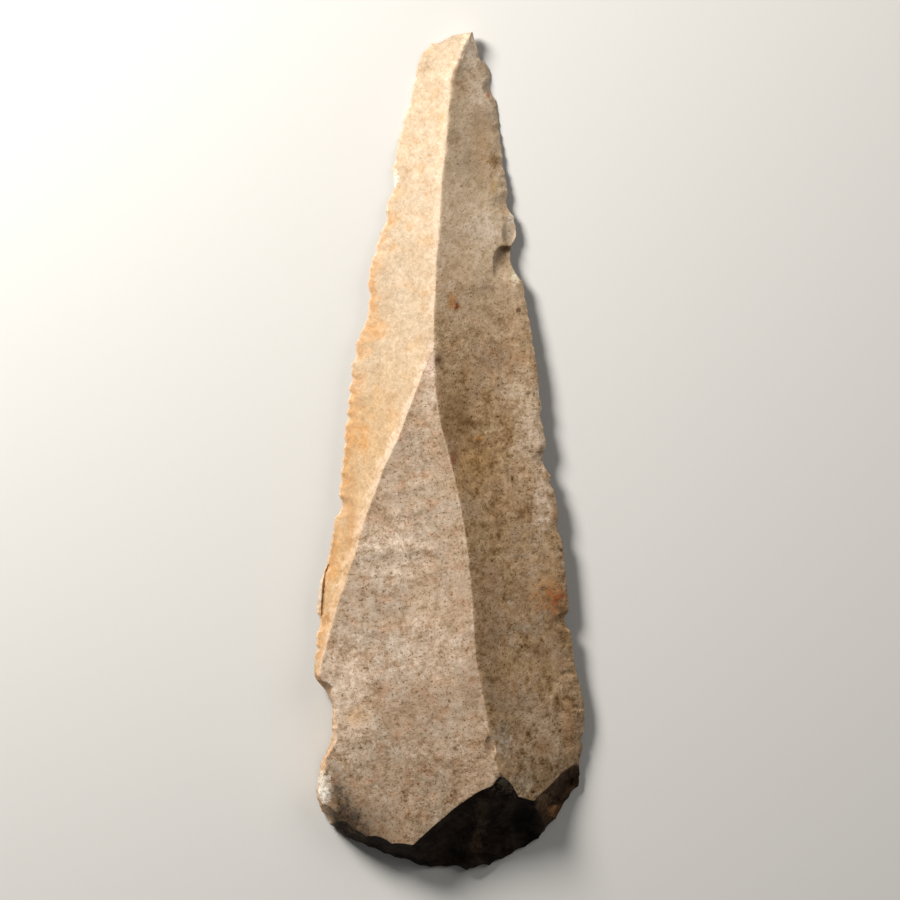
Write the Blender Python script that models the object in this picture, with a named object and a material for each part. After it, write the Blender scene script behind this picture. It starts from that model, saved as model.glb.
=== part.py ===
"""Stone end scraper: one long flake, lying on its flat flaked underside.

X runs across the flake, Y along it with the narrow butt at +Y and the steep working end at -Y, and Z up.
The blank is lofted between the edges and the two ridges. The working end and the edge notches are then
knapped out of it, each by its own hollow cut. Sizes are in millimetres until the last step.
"""

from math import cos, radians, sin

import bmesh
import bpy
import numpy as np

LENGTH = 105.0
HALF = LENGTH / 2
METRES_PER_MM = 0.001

# Plan of the flake. Each pair is (y, x), from the butt to the working end.
LEFT_EDGE = (
    (51.2, -2.6), (44, -5.1), (35.5, -7.3), (27, -9.1), (20.5, -10.5), (14.4, -11.5),
    (5, -13.0), (-5, -14.1), (-13, -15.1), (-18.8, -16.6), (-28, -17.0), (-45.9, -16.2),
)
RIGHT_EDGE = (
    (HALF, 2.7), (49, 4.0), (44, 5.8), (36, 6.7), (28, 8.3), (20, 9.3), (10, 11.0),
    (1, 12.1), (-5, 13.0), (-13, 14.2), (-20, 14.8), (-33, 17.0), (-42.0, 16.3),
)
# The working end's outline, as (x, y) from left to right.
FRONT_EDGE = (
    (-16.2, -45.9), (-13.4, -48.6), (-10.1, -50.4), (-4, -52.3), (0, -HALF),
    (3.6, -HALF), (8.7, -50.3), (11.9, -48.1), (13.9, -45.4), (16.3, -42.0),
)

# The main ridge goes on as the right arm of the fork. The left arm leaves it at the fork.
FORK = 13.0
RIDGE_PLAN = (
    (HALF, 2.3), (50, 1.6), (48, 0.6), (45, 0.1), (38.8, -0.5), (31, -1.2), (23.3, -1.6),
    (FORK, -2.1), (5, -1.4), (0, -0.3), (-6.7, 1.3), (-13, 2.2), (-24, 3.2), (-33, 4.6), (-HALF, 8.0),
)
RIDGE_HEIGHT = (
    (HALF, 2.5), (46, 3.6), (35, 4.9), (20, 6.3), (FORK, 7.0), (0, 7.9), (-20, 8.7), (-33, 8.9), (-HALF, 8.2),
)
LEFT_ARM_PLAN = (
    (FORK, -2.4), (9.9, -3.3), (3.8, -5.6), (-2.3, -8.4), (-7.2, -10.2), (-12.9, -11.9),
    (-19.6, -14.0), (-26.5, -16.1), (-HALF, -16.1),
)
LEFT_ARM_HEIGHT = (
    (FORK, 6.95), (5, 6.9), (0, 6.6), (-6.7, 6.1), (-13, 5.7), (-20, 5.3), (-28, 4.8), (-40, 4.4), (-HALF, 4.0),
)
ARM_INSET = 0.7
EDGE_THICKNESS = 0.35

# How far each facet is hollowed below a straight line between its two rails.
LEFT_HOLLOW = 0.25
MIDDLE_HOLLOW = 0.35
RIGHT_HOLLOW = ((HALF, 0.1), (30, 0.2), (16, 0.5), (4, 0.95), (-8, 0.75), (-18, 0.35), (-HALF, 0.2))
FULL_WIDTH = 8.0

# The underside arches between a pad near the working end and a pad on the bulb near the butt.
UNDERSIDE_ARCH = ((HALF, 1.0), (45, -0.35), (36, 0.4), (24, 1.1), (0, 1.5), (-28, 0.9), (-46, -0.25), (-HALF, 0.3))
UNDERSIDE_DISH = 0.5
DISH_REACH = 12.0

ROWS = 66
LEFT_COLUMNS, MIDDLE_COLUMNS, RIGHT_COLUMNS = 3, 6, 6

# Hollow cuts of the working end: start (x, y) on the edge, heading in degrees from +X, rise of the
# floor per mm inwards, how sharply the floor curls up across and along the cut, and the cut's reach.
FRONT_SCARS = (
    ("corner", (-15.2, -46.9), 48, 3.00, 0.18, 0.0, 5.0),
    ("left_small", (-12.6, -48.9), 60, 3.00, 0.14, 0.10, 5.0),
    ("left_middle", (-9.6, -50.2), 66, 3.00, 0.12, 0.10, 5.0),
    ("left_wide", (-6.2, -51.4), 80, 2.00, 0.14, 0.10, 6.0),
    ("middle_large", (0.0, -52.5), 55, 0.55, 0.165, 0.007, 15.0),
    ("beside_ridge", (6.7, -51.4), 85, 0.71, 0.235, 0.002, 14.0),
    ("round", (8.4, -50.4), 107, 0.0, 0.036, 0.139, 10.0),
    ("right", (15.9, -43.4), 153, 0.0, 0.003, 0.215, 8.0),
)
SCAR_START_HEIGHT = 0.6

# Edge notches: side (-1 left, 1 right), y of the deepest point, depth, half length, wall slope.
EDGE_NOTCHES = (
    (-1, 33.2, 0.8, 1.4, 1.2),
    (-1, 29.0, 0.6, 1.4, 1.2),
    (-1, -6.9, 0.55, 1.3, 1.2),
    (-1, -21.6, 0.6, 2.0, 1.6),
    (-1, -33.2, 2.2, 4.6, 3.0),
    (-1, -38.0, 1.1, 5.2, 3.0),
    (1, 46.0, 0.7, 1.2, 0.9),
    (1, 31.3, 0.5, 1.6, 0.9),
    (1, 23.9, 1.3, 2.8, 0.9),
    (1, -1.6, 0.9, 2.2, 0.9),
    (1, -21.2, 0.6, 1.0, 1.2),
)

CUTTER_TOP = 14.0
CUTTER_FLOOR = -3.0
SCAR_GRID = 9
SHARP_ANGLE = radians(24)

STONE_COLOUR = (0.50, 0.37, 0.25, 1.0)
STONE_ROUGHNESS = 0.85


def clear_scene():
    for old in list(bpy.data.objects):
        bpy.data.objects.remove(old)


def through(stations, at):
    """A smooth curve through (position, value) pairs: cubic pieces that share their slopes."""
    knots, values = np.array(sorted(stations), float).T
    steps = np.diff(knots)
    slopes = np.diff(values) / steps
    tangents = np.concatenate(([slopes[0]], np.zeros(len(slopes) - 1), [slopes[-1]]))
    tangents[1:-1] = (slopes[:-1] * steps[1:] + slopes[1:] * steps[:-1]) / (steps[1:] + steps[:-1])
    at = np.clip(at, knots[0], knots[-1])
    piece = np.clip(np.searchsorted(knots, at) - 1, 0, len(steps) - 1)
    t = (at - knots[piece]) / steps[piece]
    return (
        (1 + 2 * t) * (1 - t) ** 2 * values[piece]
        + t * (1 - t) ** 2 * steps[piece] * tangents[piece]
        + t * t * (3 - 2 * t) * values[piece + 1]
        + t * t * (t - 1) * steps[piece] * tangents[piece + 1]
    )


def underside(x, y):
    """Height of the flaked underside: an arch along, a shallow dish across, cut flat where it rests."""
    return np.maximum(through(UNDERSIDE_ARCH, y) + UNDERSIDE_DISH * (x / DISH_REACH) ** 2, 0.0)


def hollow(share, depth):
    return depth * 4 * share * (1 - share)


def narrowed(width):
    """Share of its hollow that a facet of this width keeps."""
    return np.clip(width / FULL_WIDTH, 0, 1)


def left_arm_x(y):
    """Left arm of the ridge, which joins the main ridge above the fork and keeps off the left edge."""
    arm = np.where(y > FORK, through(RIDGE_PLAN, y) - 0.3, through(LEFT_ARM_PLAN, y))
    return np.maximum(arm, through(LEFT_EDGE, y) + ARM_INSET)


def upper_face(x, y):
    """Height of the three long facets, each a ruled surface between its rails, less its hollow."""
    left, right = through(LEFT_EDGE, y), through(RIGHT_EDGE, y)
    arm, ridge = left_arm_x(y), through(RIDGE_PLAN, y)
    ridge_z = through(RIDGE_HEIGHT, y)
    arm_z = np.where(y > FORK, ridge_z - 0.05, through(LEFT_ARM_HEIGHT, y))
    left_z = underside(left, y) + EDGE_THICKNESS
    right_z = underside(right, y) + EDGE_THICKNESS
    on_left = np.clip((x - left) / (arm - left), 0, 1)
    on_middle = np.clip((x - arm) / (ridge - arm), 0, 1)
    on_right = np.clip((x - ridge) / (right - ridge), 0, 1)
    left_hollow = LEFT_HOLLOW * narrowed(arm - left)
    middle_hollow = MIDDLE_HOLLOW * narrowed(ridge - arm)
    left_facet = left_z + (arm_z - left_z) * on_left - hollow(on_left, left_hollow)
    middle_facet = arm_z + (ridge_z - arm_z) * on_middle - hollow(on_middle, middle_hollow)
    right_facet = ridge_z + (right_z - ridge_z) * on_right - hollow(on_right, through(RIGHT_HOLLOW, y))
    return np.where(x < arm, left_facet, np.where(x < ridge, middle_facet, right_facet))


def plan_grid():
    """Plan points in rows from the working end to the butt, with a column on each ridge."""
    (tip_left_y, tip_left_x), (tip_right_y, tip_right_x) = LEFT_EDGE[0], RIGHT_EDGE[0]
    (front_left_x, front_left_y), (front_right_x, front_right_y) = FRONT_EDGE[0], FRONT_EDGE[-1]
    t = np.linspace(0, 1, ROWS)[:, None]
    row_left_y = front_left_y + (tip_left_y - front_left_y) * t
    row_right_y = front_right_y + (tip_right_y - front_right_y) * t
    row_left_x, row_right_x = through(LEFT_EDGE, row_left_y), through(RIGHT_EDGE, row_right_y)

    def row_y(share):
        chord = front_left_y + (front_right_y - front_left_y) * share
        sag = through(FRONT_EDGE, front_left_x + (front_right_x - front_left_x) * share) - chord
        return row_left_y + (row_right_y - row_left_y) * share + sag * (1 - t) ** 2

    def share_on(curve, share):
        for _ in range(6):
            share = (curve(row_y(share)) - row_left_x) / (row_right_x - row_left_x)
        return share

    at_arm = share_on(left_arm_x, 0.3)
    at_ridge = share_on(lambda y: through(RIDGE_PLAN, y), 0.6)
    shares = np.hstack(
        [at_arm * k / LEFT_COLUMNS for k in range(LEFT_COLUMNS)]
        + [at_arm + (at_ridge - at_arm) * k / MIDDLE_COLUMNS for k in range(MIDDLE_COLUMNS)]
        + [at_ridge + (1 - at_ridge) * k / RIGHT_COLUMNS for k in range(RIGHT_COLUMNS + 1)]
    )
    return row_left_x + (row_right_x - row_left_x) * shares, row_y(shares)


def mesh_object(name, points, faces):
    """A closed triangle mesh, its faces turned outwards. points are in millimetres."""
    mesh = bpy.data.meshes.new(name)
    mesh.from_pydata(np.asarray(points, float) * METRES_PER_MM, [], faces)
    work = bmesh.new()
    work.from_mesh(mesh)
    bmesh.ops.triangulate(work, faces=work.faces)
    bmesh.ops.recalc_face_normals(work, faces=work.faces)
    work.to_mesh(mesh)
    work.free()
    placed = bpy.data.objects.new(name, mesh)
    bpy.context.scene.collection.objects.link(placed)
    return placed


def slab_between(name, x, y, upper_z, lower_z):
    """The solid between two height grids over one plan grid."""
    rows, columns = x.shape
    count = rows * columns
    index = np.arange(count).reshape(rows, columns)
    quads = np.stack([index[:-1, :-1], index[:-1, 1:], index[1:, 1:], index[1:, :-1]], -1).reshape(-1, 4)
    rim = np.concatenate([index[0, :-1], index[:-1, -1], index[-1, :0:-1], index[:0:-1, 0]])
    rim_next = np.roll(rim, -1)
    walls = np.stack([rim, rim_next, rim_next + count, rim + count], -1)
    points = np.concatenate([np.stack([x, y, z], -1).reshape(-1, 3) for z in (upper_z, lower_z)])
    faces = np.concatenate([quads, quads[:, ::-1] + count, walls])
    return mesh_object(name, points, faces.tolist())


def knap(stone, name, start, heading, half_width, reach, floor):
    """Cuts away everything above a hollow floor. floor(s, w) is a height, s mm inwards and w mm across."""
    s, w = np.meshgrid(np.linspace(*reach, SCAR_GRID), np.linspace(-half_width, half_width, SCAR_GRID))
    inward = (cos(heading), sin(heading))
    x = start[0] + s * inward[0] - w * inward[1]
    y = start[1] + s * inward[1] + w * inward[0]
    floor_z = np.clip(floor(s, w), CUTTER_FLOOR, CUTTER_TOP - 1)
    cutter = slab_between("cut_" + name, x, y, np.full_like(x, CUTTER_TOP), floor_z)
    cutter.hide_render = True
    cutter.display_type = "WIRE"
    cut = stone.modifiers.new(name, "BOOLEAN")
    cut.operation = "DIFFERENCE"
    cut.solver = "EXACT"
    cut.object = cutter


def knap_working_end(stone):
    for name, start, heading, slope, across, along, reach in FRONT_SCARS:

        def floor(s, w, slope=slope, across=across, along=along):
            return SCAR_START_HEIGHT + slope * s + across * w * w + along * s * abs(s)

        half_width = min(9.0, (9.0 / across) ** 0.5)
        knap(stone, name, start, radians(heading), half_width, (-3.0, reach), floor)


def knap_edge_notches(stone):
    for number, (side, y, depth, half_length, slope) in enumerate(EDGE_NOTCHES, 1):
        edge = through(LEFT_EDGE if side < 0 else RIGHT_EDGE, y)
        start = (float(edge) - side * depth, y)
        start_z = float(underside(start[0], y)) + EDGE_THICKNESS
        opening = depth / half_length**2

        def floor(s, w, start_z=start_z, slope=slope, opening=opening):
            return start_z + slope * (s + opening * w * w)

        heading = radians(0 if side < 0 else 180)
        knap(stone, f"notch_{number}", start, heading, half_length * 1.5, (-depth - 1.5, 5.0), floor)


def stone_material():
    material = bpy.data.materials.new("flaked_stone")
    material.use_nodes = True
    shader = material.node_tree.nodes["Principled BSDF"]
    shader.inputs["Base Color"].default_value = STONE_COLOUR
    shader.inputs["Roughness"].default_value = STONE_ROUGHNESS
    shader.inputs["Metallic"].default_value = 0.0
    return material


def build():
    clear_scene()
    x, y = plan_grid()
    stone = slab_between("stone", x, y, upper_face(x, y), underside(x, y))
    knap_working_end(stone)
    knap_edge_notches(stone)
    stone.data.materials.append(stone_material())
    stone.data.shade_smooth()
    stone.data.set_sharp_from_angle(angle=SHARP_ANGLE)


build()
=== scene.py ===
import math

import bpy
import numpy as np
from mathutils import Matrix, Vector


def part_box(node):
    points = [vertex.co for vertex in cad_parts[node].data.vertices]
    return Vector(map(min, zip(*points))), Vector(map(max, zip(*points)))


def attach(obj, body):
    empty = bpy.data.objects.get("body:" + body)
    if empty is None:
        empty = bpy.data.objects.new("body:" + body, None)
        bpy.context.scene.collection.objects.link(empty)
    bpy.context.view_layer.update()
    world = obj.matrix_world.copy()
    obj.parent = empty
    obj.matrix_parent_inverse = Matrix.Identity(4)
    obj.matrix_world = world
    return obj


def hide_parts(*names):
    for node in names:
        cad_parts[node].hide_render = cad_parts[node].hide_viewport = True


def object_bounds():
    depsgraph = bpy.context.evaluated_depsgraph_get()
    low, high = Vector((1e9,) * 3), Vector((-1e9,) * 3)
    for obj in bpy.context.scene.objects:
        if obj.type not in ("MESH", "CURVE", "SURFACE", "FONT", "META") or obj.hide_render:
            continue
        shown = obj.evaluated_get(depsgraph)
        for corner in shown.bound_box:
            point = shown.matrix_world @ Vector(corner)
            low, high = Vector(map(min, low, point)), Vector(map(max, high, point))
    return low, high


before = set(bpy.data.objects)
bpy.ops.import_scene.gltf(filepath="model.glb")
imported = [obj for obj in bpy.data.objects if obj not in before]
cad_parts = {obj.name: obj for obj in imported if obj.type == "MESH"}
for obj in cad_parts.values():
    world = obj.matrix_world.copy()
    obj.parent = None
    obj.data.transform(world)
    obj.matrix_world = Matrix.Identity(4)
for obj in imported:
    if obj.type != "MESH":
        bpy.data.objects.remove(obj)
cadLow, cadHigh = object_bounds()

# The flake lies on its flat face, with its butt at +Y and its steep working end at -Y.
# Shapes are in millimetres of a flake 105 mm long, and fitted to the frame's box at the end.
flake = {
    "length": 105,
    "fork": 13,  # where the left arm leaves the main ridge
    # plan of the edges, as (y, x)
    "leftEdge": [
        (51.2, -2.6), (49.8, -3.5), (46.4, -4.6), (44, -5), (41.9, -5.75), (35.4, -7.3), (30, -8.2),
        (26, -9.3), (21, -10.4), (19, -10.3), (16.4, -10.55), (14.4, -11.5), (5, -13), (-5, -14),
        (-8.2, -14.48), (-11.4, -15), (-14.6, -15.65), (-15.7, -16.1), (-19.2, -16.7), (-24, -16.85),
        (-28, -17.1), (-36, -16.9), (-43.8, -16.8), (-45.4, -16.2),
    ],
    "rightEdge": [
        (52.5, 2.9), (50.8, 3.4), (47.4, 5.05), (43.6, 5.85), (37, 6.65), (34.3, 7.05), (32, 7.4),
        (30.4, 7.75), (29.6, 8), (28.2, 8.25), (26.5, 8.45), (20.9, 9.25), (10, 11.05), (0, 12.25),
        (-6, 13.3), (-13.5, 14.35), (-20, 14.95), (-26.2, 15.6), (-33.5, 16.95), (-37, 16.7),
        (-42.2, 16.2),
    ],
    # outlines of the two ends, as (x, y)
    "frontEdge": [
        (-16.1, -45.4), (-15.2, -46.9), (-13.6, -48.4), (-10, -50.1), (-6.5, -51.4), (-3.5, -52.3),
        (0.5, -52.5), (3.6, -52.5), (8.7, -50.3), (12, -47.9), (13.6, -46), (14.7, -44.2), (16.2, -42.2),
    ],
    "buttEdge": [
        (-2.6, 51.2), (-2, 51.1), (-1.3, 51.3), (-0.5, 51.75), (0.4, 52.15), (1.4, 52.3), (2.8, 52.5),
    ],
    # plan and height of the main ridge, and plan of the left arm
    "ridgePlan": [
        (52.5, 2.75), (50.5, 1.8), (49, 1.1), (46.7, 0.2), (44.6, 0), (40, -0.4), (31, -1.2),
        (26, -1.45), (22, -1.75), (17, -1.95), (13, -1.95), (9, -1.9), (3.6, -1.2), (-1.1, 0),
        (-6.7, 1.3), (-13.1, 2.2), (-21.1, 2.95), (-27.6, 3.5), (-31, 4.25), (-33.6, 4.6), (-36.4, 5.1),
        (-39.2, 5.8), (-41, 6.15), (-52.5, 8.5),
    ],
    "ridgeHeight": [
        (52.5, 2.5), (46, 3.6), (35, 4.9), (20, 6.3), (13, 7), (0, 7.9), (-20, 8.7), (-33, 8.9),
        (-52.5, 8.2),
    ],
    "armPlan": [
        (13, -1.95), (9.9, -3.2), (7.6, -4.15), (1.9, -6.35), (-2.3, -8.25), (-7.2, -10.1),
        (-12.9, -11.95), (-19.6, -14.1), (-24.7, -15.55), (-28.4, -16.45), (-52.5, -16.3),
    ],
    "armInset": 0.55,  # the arm keeps this far from the left edge
    # the middle facet's rise towards the ridge, and how fast it leaves the stone above the fork
    "middleSlope": [(13, 0.16), (0, 0.17), (-13, 0.19), (-28, 0.2), (-52.5, 0.19)],
    "forkRise": 0.1,
    # how far each long facet is hollowed below its rails
    "leftHollow": 0.25,
    "middleHollow": 0.35,
    "rightHollow": [
        (52.5, 0.05), (30, 0.15), (16, 0.5), (4, 0.95), (-8, 0.75), (-18, 0.35), (-52.5, 0.2),
    ],
    "fullWidth": 8,  # a narrower facet keeps a smaller share of its hollow
    "railLift": 0.35,  # height of a facet's outer rail over the underside
    "rim": 0.16,  # thickness left at the sharp edge
    # underside: an arch along, with the bulb below the butt, and a dish across
    "arch": [
        (52.5, 1), (45, -0.35), (36, 0.4), (24, 1.1), (0, 1.5), (-28, 0.9), (-46, -0.25), (-52.5, 0.3),
    ],
    "dish": 0.5,
    "dishReach": 12,
    "rest": 0.02,  # how gently the underside meets the plane that it lies on
}

grid = {
    "rows": 480,
    "columns": 153,
    "underStep": 4,  # the underside has one column for so many of the upper side's
    # rows crowd towards the front edge, and columns towards both sides
    "frontCrowd": 0.9,
    "frontReach": 0.15,
    "sideCrowd": 0.4,
    "crowdSteps": 2000,
    "frontSearch": (3, 0.35),  # how far in and out the front row is looked for
    "frontSteps": 16,
    "endPower": 30,  # how tightly the end rows' own shape stays with them
    "snapReach": 0.48,  # of a cell
    "snaps": 2,
}


# A smooth curve through (position, value) pairs: cubic pieces that share their slopes.
def through(stations, at):
    knots, values = np.array(sorted(stations), float).T
    steps = np.diff(knots)
    slopes = np.diff(values) / steps
    tangents = np.concatenate(([slopes[0]], np.zeros(len(slopes) - 1), [slopes[-1]]))
    tangents[1:-1] = (slopes[:-1] * steps[1:] + slopes[1:] * steps[:-1]) / (steps[1:] + steps[:-1])
    at = np.clip(at, knots[0], knots[-1])
    piece = np.clip(np.searchsorted(knots, at) - 1, 0, len(steps) - 1)
    t = (at - knots[piece]) / steps[piece]
    return (
        (1 + 2 * t) * (1 - t) ** 2 * values[piece]
        + t * (1 - t) ** 2 * steps[piece] * tangents[piece]
        + t * t * (3 - 2 * t) * values[piece + 1]
        + t * t * (t - 1) * steps[piece] * tangents[piece + 1]
    )


latticeSize = 64


# Smooth lumps between -1 and 1: random heights on a square lattice of this cell, eased from corner to
# corner by u * u * (3 - 2 * u).
def lumps(x, y, cell, seed):
    heights = np.random.default_rng(seed).uniform(-1, 1, (latticeSize, latticeSize))
    u, v = x / cell + latticeSize / 2, y / cell + latticeSize / 2
    i, j = np.floor(u).astype(int), np.floor(v).astype(int)
    a, b = u - i, v - j
    a, b = a * a * (3 - 2 * a), b * b * (3 - 2 * b)
    i, j = i % latticeSize, j % latticeSize
    k, m = (i + 1) % latticeSize, (j + 1) % latticeSize
    near = heights[i, j] * (1 - a) + heights[k, j] * a
    far = heights[i, m] * (1 - a) + heights[k, m] * a
    return near * (1 - b) + far * b


# A height eased so that it never passes below zero: (z + sqrt(z^2 + rest)) / 2.
def eased(z):
    return 0.5 * (z + np.sqrt(z * z + flake["rest"]))


# The struck face as one arch: arch(y) + dish * (x / reach)^2.
def arched(x, y):
    return through(flake["arch"], y) + flake["dish"] * (x / flake["dishReach"]) ** 2


# Underside before its ripples.
def underside(x, y):
    return eased(arched(x, y))


chips = {
    "seed": 11,
    "leftSpan": (-46, 51.2),  # the small chips run from this y to this y
    "rightSpan": (-42.5, 52.5),
    "width": (1, 2.3),
    "depth": (0.08, 0.30),
    "depthByWidth": (0.5, 0.3),  # a wide chip is deeper, by 0.5 + 0.3 * width
    "reach": (2.2, 4.5),  # how far a chip runs in, in its own depths
    "lean": (-0.35, 0.35),
    # larger notches, as (y of the deepest point, half length, depth, reach)
    "left": [
        (33.1, 1.9, 0.65, 2.4), (28.7, 1.5, 0.5, 2.5), (11.8, 1, 0.5, 2.8), (8.9, 0.8, 0.42, 2.8),
        (4, 0.6, 0.33, 3), (-7.1, 1.5, 0.72, 2.6), (-21.7, 1.4, 0.5, 3), (-25, 0.5, 0.26, 3),
    ],
    "right": [
        (49.5, 0.7, 0.45, 2.4), (45.5, 1.5, 0.62, 2), (35.8, 0.8, 0.26, 3), (30.8, 1.5, 0.54, 3),
        (24, 2.95, 1.2, 1.35), (7, 1.2, 0.24, 4), (4, 1.5, 0.34, 3.5), (-1.4, 1.95, 0.85, 3),
        (-4.2, 0.9, 0.42, 3), (-9.8, 1.4, 0.42, 3), (-21.5, 1.3, 0.73, 2.4), (-36.4, 0.9, 0.3, 2.5),
        (-39.2, 1.6, 0.25, 3),
    ],
    # the broad blunted notch low on the left edge, as (y, depth)
    "backing": [
        (-28, 0), (-28.5, 0.12), (-29, 0.39), (-29.8, 1.17), (-30.9, 1.75), (-32.2, 2.2), (-33.3, 2.12),
        (-34.7, 2), (-36.4, 1.88), (-37.5, 1.55), (-39.2, 0.87), (-39.9, 0.75), (-41.7, 0.5),
        (-43.3, 0.1), (-45.4, 0),
    ],
    # how steep its wall is, as (y, slope), and where the wall takes over from the small chips' walls
    "backingSlope": [(-28, 3), (-31, 4.5), (-33, 6.5), (-36, 5.5), (-38, 6.5), (-41, 6), (-45, 6.5)],
    "backingFull": 0.5,
    "backingRough": (0.35, 1.1, 95),  # strength, size and seed
    # how the small chips' size changes along the edges, as (y, factor)
    "leftSize": [
        (52, 0.8), (30, 0.9), (0, 0.9), (-12, 0.7), (-24, 0.6), (-27, 0.3), (-31, 0.5), (-46, 0.5),
    ],
    "rightSize": [(52, 0.7), (28, 0.7), (16, 0.75), (0, 0.8), (-6, 0.5), (-20, 0.4), (-42.5, 0.45)],
}


# Small chips that follow each other up an edge: where each starts and ends, its depth, reach and lean.
def chipRow(side, draw):
    rows = []
    y, yTo = chips[side + "Span"]
    narrow, wide = chips["depthByWidth"]
    while y < yTo:
        size = float(through(chips[side + "Size"], y))
        width = draw.uniform(*chips["width"]) * size
        depth = draw.uniform(*chips["depth"]) * size * (narrow + wide * width)
        rows.append((y, y + width, depth, draw.uniform(*chips["reach"]), draw.uniform(*chips["lean"])))
        y += width
    return np.array(rows).T


# Depth of the small chips at y: deepest * (1 - v^2), where v runs from -1 to 1 over the chip and leans.
def chipAt(row, y):
    starts, ends, deepest, reach, lean = row
    k = np.clip(np.searchsorted(starts, y) - 1, 0, len(starts) - 1)
    v = np.clip((2 * y - starts[k] - ends[k]) / (ends[k] - starts[k]), -1, 1)
    v = v + lean[k] * (1 - v * v)
    return deepest[k] * np.clip(1 - v * v, 0, 1), reach[k]


# Depth of one notch at y: deepest * (1 - v^2), v being the distance from its middle over its half length.
def notchAt(notch, y):
    middle, half, deepest, _ = notch
    return deepest * (1 - np.clip((y - middle) / half, -4, 4) ** 2)


# Depth of the broad blunted notch at y.
def backing(y):
    return np.clip(through(chips["backing"], y), 0, None)


draw = np.random.default_rng(chips["seed"])
smallChips = {side: chipRow(side, draw) for side in ("left", "right")}


# How far the worked edge lies inside the flake's plain edge: the deepest chip or notch, plus the backing.
def edgeDepth(side, y):
    depth = chipAt(smallChips[side], y)[0]
    for notch in chips[side]:
        depth = np.maximum(depth, notchAt(notch, y))
    return depth + (backing(y) if side == "left" else 0.0)


scars = {
    "seed": 5,
    # hollow scars of the working end: start x and y, heading in degrees from +X, slope of the floor
    # inwards, curl across, curl along
    "large": [
        (-15.2, -46.9, 48, 5, 0.18, 0), (-12.6, -48.9, 60, 3.6, 0.14, 0.1),
        (-9.6, -50.2, 66, 3.3, 0.12, 0.1), (-6.2, -51.4, 80, 2.1, 0.14, 0.1),
        (0.04, -52.5, 55.3, 0.552, 0.166, 0.007), (6.7, -51.36, 85.5, 0.709, 0.2365, 0.002),
        (8.4, -50.39, 107, 0, 0.0363, 0.139), (15.9, -43.4, 153, 0, 0.003, 0.215),
    ],
    "start": 0.25,  # height of a scar's floor where it starts
    # how rough the floors of the large ones are: length and height of ripples, height and size of lumps
    "ripples": (2.6, 0.05),
    "lumps": (0.05, 1.7),
    # small retouch, in tiers of (spacing, reach up the face, slope), from x = -span to span
    "tiers": [(3, 1.1, 1.9), (1.6, 0.5, 3.2)],
    "span": 15.6,
    "turn": (-12, 12),  # how far a small scar's heading strays, in degrees
    "steepness": (0.85, 1.25),
    "spread": (0.7, 1.25),
    "inset": (0, 0.3),
    "curls": (4.5, 0.15),  # across and along
}


# A scar's floor: start height + slope * s + across * w^2 + along * s * |s|, for s inwards and w across.
def scarFloor(x, y, scar, start):
    x0, y0, heading, slope, across, along = scar
    c, d = math.cos(math.radians(heading)), math.sin(math.radians(heading))
    s = (x - x0) * c + (y - y0) * d
    w = (y - y0) * c - (x - x0) * d
    return start + slope * s + across * w * w + along * s * np.abs(s)


# Small scars spaced along the working end's edge, which turn with the outline.
def retouch(draw):
    made = []
    step = 0.2  # over which the outline's turn is measured
    curlAcross, curlAlong = scars["curls"]
    for spacing, reach, slope in scars["tiers"]:
        x = -scars["span"]
        while x < scars["span"]:
            y = float(through(flake["frontEdge"], x))
            ahead = float(through(flake["frontEdge"], x + step))
            heading = math.degrees(math.atan2(ahead - y, step)) + 90 + draw.uniform(*scars["turn"])
            steep = slope * draw.uniform(*scars["steepness"])
            width = spacing * draw.uniform(*scars["spread"])
            inset = draw.uniform(*scars["inset"])
            c, d = math.cos(math.radians(heading)), math.sin(math.radians(heading))
            across, along = reach * curlAcross / width**2, curlAlong / reach
            made.append((x + inset * c, y + inset * d, heading, steep, across, along))
            x += width * math.sin(math.radians(heading))
    return made


smallScars = retouch(np.random.default_rng(scars["seed"]))

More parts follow.
